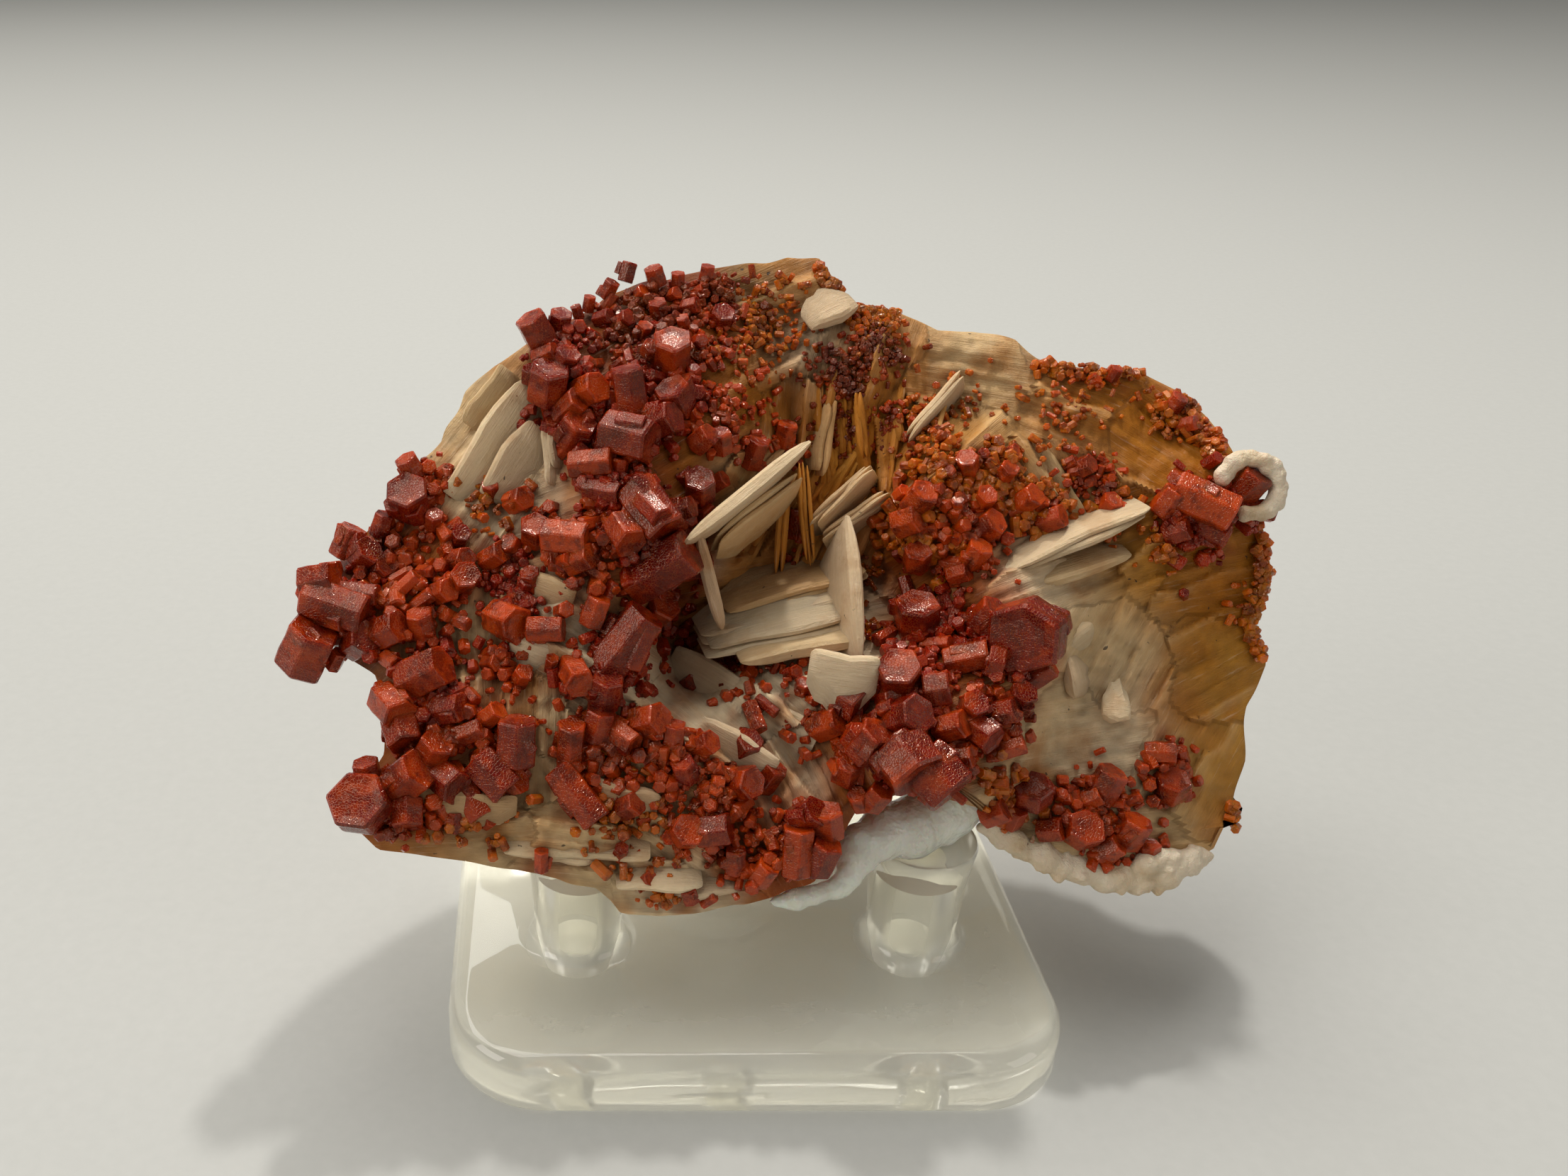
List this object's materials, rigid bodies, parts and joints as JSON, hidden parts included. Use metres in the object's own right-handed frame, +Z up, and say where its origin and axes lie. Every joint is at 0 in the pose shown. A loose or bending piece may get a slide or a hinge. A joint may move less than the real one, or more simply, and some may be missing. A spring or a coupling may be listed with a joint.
{
  "type": "mineral specimen on display stand",
  "caption": "Cabinet mineral specimen: hexagonal red vanadinite prisms on bladed barite, glued and resting on a clear peg stand.",
  "frame": {"origin": "centre of the stand's flat underside", "axes": "+Z up, +X to the right as the specimen's face is seen, -Y towards the viewer; the specimen's long side lies along X"},
  "size_m": [0.0745, 0.0427, 0.0515],
  "materials": {
    "barite": "cream to white pearly blades, stained ochre and amber in places",
    "vanadinite": "blood red to orange, translucent at thin edges, resinous to adamantine lustre",
    "adhesive": "milky translucent set adhesive",
    "clear_plastic": "clear moulded plastic with a faint green tint"
  },
  "bodies": {
    "root": {"barite_matrix": "barite", "vanadinite_left_tip": "vanadinite", "vanadinite_lower_left": "vanadinite", "vanadinite_middle_left": "vanadinite", "vanadinite_upper_left": "vanadinite", "vanadinite_crest": "vanadinite", "vanadinite_centre_left": "vanadinite", "vanadinite_spear_top": "vanadinite", "vanadinite_lower_middle": "vanadinite", "vanadinite_bottom": "vanadinite", "vanadinite_right_middle": "vanadinite", "vanadinite_upper_right": "vanadinite", "vanadinite_far_right": "vanadinite", "vanadinite_lower_right": "vanadinite", "glue_right": "adhesive", "display_stand": "clear_plastic"}
  },
  "joints": []
}
